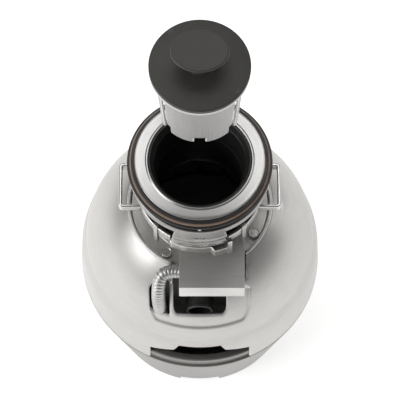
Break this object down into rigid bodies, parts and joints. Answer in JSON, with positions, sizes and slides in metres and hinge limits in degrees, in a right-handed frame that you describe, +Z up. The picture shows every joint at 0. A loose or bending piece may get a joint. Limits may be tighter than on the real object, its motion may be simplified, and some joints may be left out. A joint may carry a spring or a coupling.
{
  "type": "kitchen garbage disposal",
  "caption": "Batch-feed kitchen garbage disposal with domed two-part casing, sink flange mount, lift-off magnetic cover, swivelling impellers and motor.",
  "frame": {"origin": "centre of the lower shell's resting rim, on the surface that the disposal stands on", "axes": "+Z up along the throat and motor shaft, -Y to the front where the switch box and the outlets are, +X to the right seen from the front"},
  "size_m": [0.2256, 0.2256, 0.5503],
  "materials": {
    "shell_metal": "satin warm silver paint on pressed steel",
    "lower_metal": "satin grey paint on pressed steel",
    "polished_steel": "satin stainless steel with a polished lip",
    "zinc_steel": "pressed, zinc-plated steel",
    "cast_alloy": "die-cast alloy, lightly blasted",
    "charcoal_plastic": "matte charcoal moulded plastic",
    "black_rubber": "black moulded rubber",
    "black_plastic": "black moulded plastic",
    "tan_fibre": "pressed tan fibre board",
    "conduit_steel": "bright spiral-wound galvanised steel strip",
    "lamination_steel": "stacked dark electrical steel sheets",
    "copper_winding": "varnished copper wire",
    "magnet_nickel": "nickel-plated magnet",
    "reset_red": "red moulded plastic"
  },
  "bodies": {
    "root": {"upper_shell": "shell_metal", "lower_shell": "lower_metal", "sink_flange": "polished_steel", "grind_ring": "polished_steel", "upper_mounting_ring": "zinc_steel", "mount_screw_front": "zinc_steel", "mount_screw_right": "zinc_steel", "mount_screw_left": "zinc_steel", "snap_ring": "zinc_steel", "container_stud_1": "zinc_steel", "container_stud_2": "zinc_steel", "container_stud_3": "zinc_steel", "container_stud_4": "zinc_steel", "upper_bearing": "zinc_steel", "lower_bearing": "zinc_steel", "through_bolt_right": "zinc_steel", "through_bolt_left": "zinc_steel", "switch_box_cover": "zinc_steel", "switch_box": "zinc_steel", "container_top": "cast_alloy", "grind_chamber": "cast_alloy", "upper_end_frame": "cast_alloy", "lower_end_frame": "cast_alloy", "rubber_gasket": "black_rubber", "mounting_gasket": "black_rubber", "splash_baffle": "black_rubber", "discharge_outlet": "black_rubber", "insulation_jacket": "black_rubber", "shaft_seal": "black_rubber", "backup_flange": "black_plastic", "dishwasher_inlet": "black_plastic", "start_switch": "black_plastic", "overload_protector": "black_plastic", "base_plate": "black_plastic", "terminal_box": "black_plastic", "reed_switch": "black_plastic", "fibre_gasket": "tan_fibre", "conduit": "conduit_steel", "box_connector": "conduit_steel", "terminal_connector": "conduit_steel", "stator_core": "lamination_steel", "stator_winding": "copper_winding"},
    "mounting_ring": {"lower_mounting_ring": "zinc_steel"},
    "cover_seat": {"cover_seat_ring": "polished_steel"},
    "cover": {"cover_top": "charcoal_plastic", "cover_knob": "charcoal_plastic", "knob_screw": "zinc_steel", "cover_skirt": "polished_steel", "cover_magnet_front": "magnet_nickel", "cover_magnet_rear": "magnet_nickel"},
    "rotor": {"turntable": "polished_steel", "turntable_nut": "zinc_steel", "impeller_pin_right": "zinc_steel", "impeller_pin_left": "zinc_steel", "motor_shaft": "polished_steel", "rotor_core": "lamination_steel"},
    "impeller_right": {"impeller_right": "polished_steel"},
    "impeller_left": {"impeller_left": "polished_steel"},
    "actuator": {"centrifugal_actuator": "black_plastic"},
    "button": {"reset_button": "reset_red"}
  },
  "joints": [
    {"name": "cover_lift", "type": "slide", "parent": "root", "child": "cover_seat", "axis": [0, 0, 1], "range_m": [-0.183, 0]},
    {"name": "cover_turn", "type": "hinge", "parent": "cover_seat", "child": "cover", "pos_m": [0, 0, 0.5205], "axis": [0, 0, 1], "range_deg": [-45, 45]},
    {"name": "ring_unlock", "type": "hinge", "parent": "root", "child": "mounting_ring", "pos_m": [0, 0, 0.276], "axis": [0, 0, 1], "range_deg": [0, 30]},
    {"name": "turntable_spin", "type": "hinge", "parent": "root", "child": "rotor", "pos_m": [0, 0, 0.1], "axis": [0, 0, 1], "continuous": true},
    {"name": "impeller_right_swivel", "type": "hinge", "parent": "rotor", "child": "impeller_right", "pos_m": [0.04, 0, 0.163], "axis": [0, 0, 1], "continuous": true},
    {"name": "impeller_left_swivel", "type": "hinge", "parent": "rotor", "child": "impeller_left", "pos_m": [-0.04, 0, 0.163], "axis": [0, 0, 1], "continuous": true},
    {"name": "actuator_slide", "type": "slide", "parent": "rotor", "child": "actuator", "axis": [0, 0, 1], "range_m": [-0.004, 0], "stiffness_N_per_m": 400},
    {"name": "reset_press", "type": "slide", "parent": "root", "child": "button", "axis": [0, 0, 1], "range_m": [0, 0.002], "stiffness_N_per_m": 300}
  ]
}
